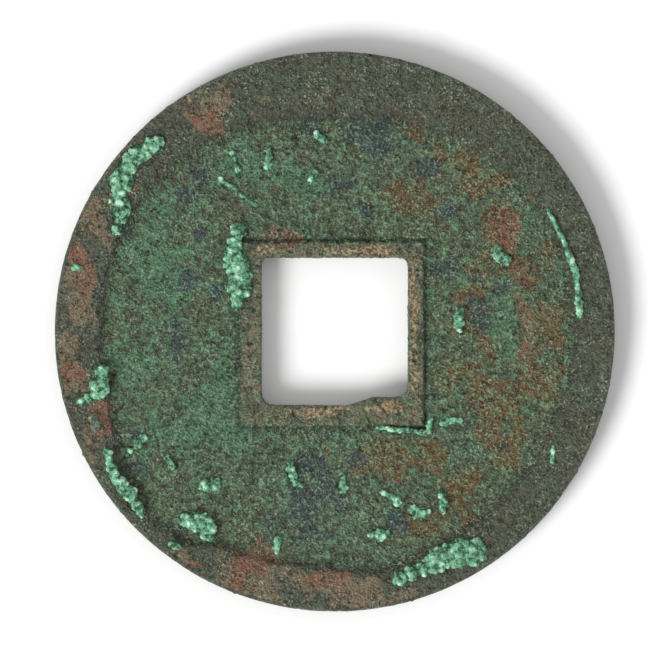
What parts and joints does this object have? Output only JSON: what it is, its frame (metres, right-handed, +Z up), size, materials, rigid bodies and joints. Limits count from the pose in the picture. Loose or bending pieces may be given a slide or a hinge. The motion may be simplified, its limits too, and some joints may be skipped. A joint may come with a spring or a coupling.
{
  "type": "chinese cash coin",
  "caption": "Round cast bronze coin with a square central hole, raised rims and crusts of green corrosion, to be strung on a cord or shown.",
  "frame": {"origin": "centre of the coin in the plane that its lower rim lies on", "axes": "+Z up out of the plain reverse; +Y the top of the reverse, parallel to two sides of the square hole; +X its right"},
  "size_m": [0.024, 0.024, 0.0017],
  "materials": {
    "bronze": "cast bronze under a dark green and brown patina, worn bare on the inner rim",
    "malachite": "granular pale green corrosion crust",
    "deposit": "dull grey-green soil deposit"
  },
  "bodies": {
    "root": {"coin_casting": "bronze", "crust_below_hole_vein": "malachite", "crust_bottom_field_foot": "malachite", "crust_bottom_field_high": "malachite", "crust_bottom_field_middle": "malachite", "crust_left_field_foot": "malachite", "crust_left_field_low": "malachite", "crust_left_of_hole": "malachite", "crust_left_rim": "malachite", "crust_left_rim_deposit": "deposit", "crust_left_rim_speck": "malachite", "crust_lower_left_edge_speck": "malachite", "crust_lower_left_field": "malachite", "crust_lower_left_foot": "malachite", "crust_lower_left_rim": "malachite", "crust_lower_right_field_high": "malachite", "crust_lower_right_field_left": "malachite", "crust_lower_right_field_low": "malachite", "crust_lower_right_field_middle": "malachite", "crust_lower_right_rim": "malachite", "crust_right_field_low": "malachite", "crust_right_field_lump": "malachite", "crust_right_of_hole_low": "malachite", "crust_right_rim_low_vein": "malachite", "crust_right_rim_vein": "malachite", "crust_top_field_high": "malachite", "crust_top_field_left": "malachite", "crust_top_field_low": "malachite", "crust_top_field_middle": "malachite", "crust_upper_left_rim": "malachite", "crust_upper_left_vein": "malachite"}
  },
  "joints": []
}
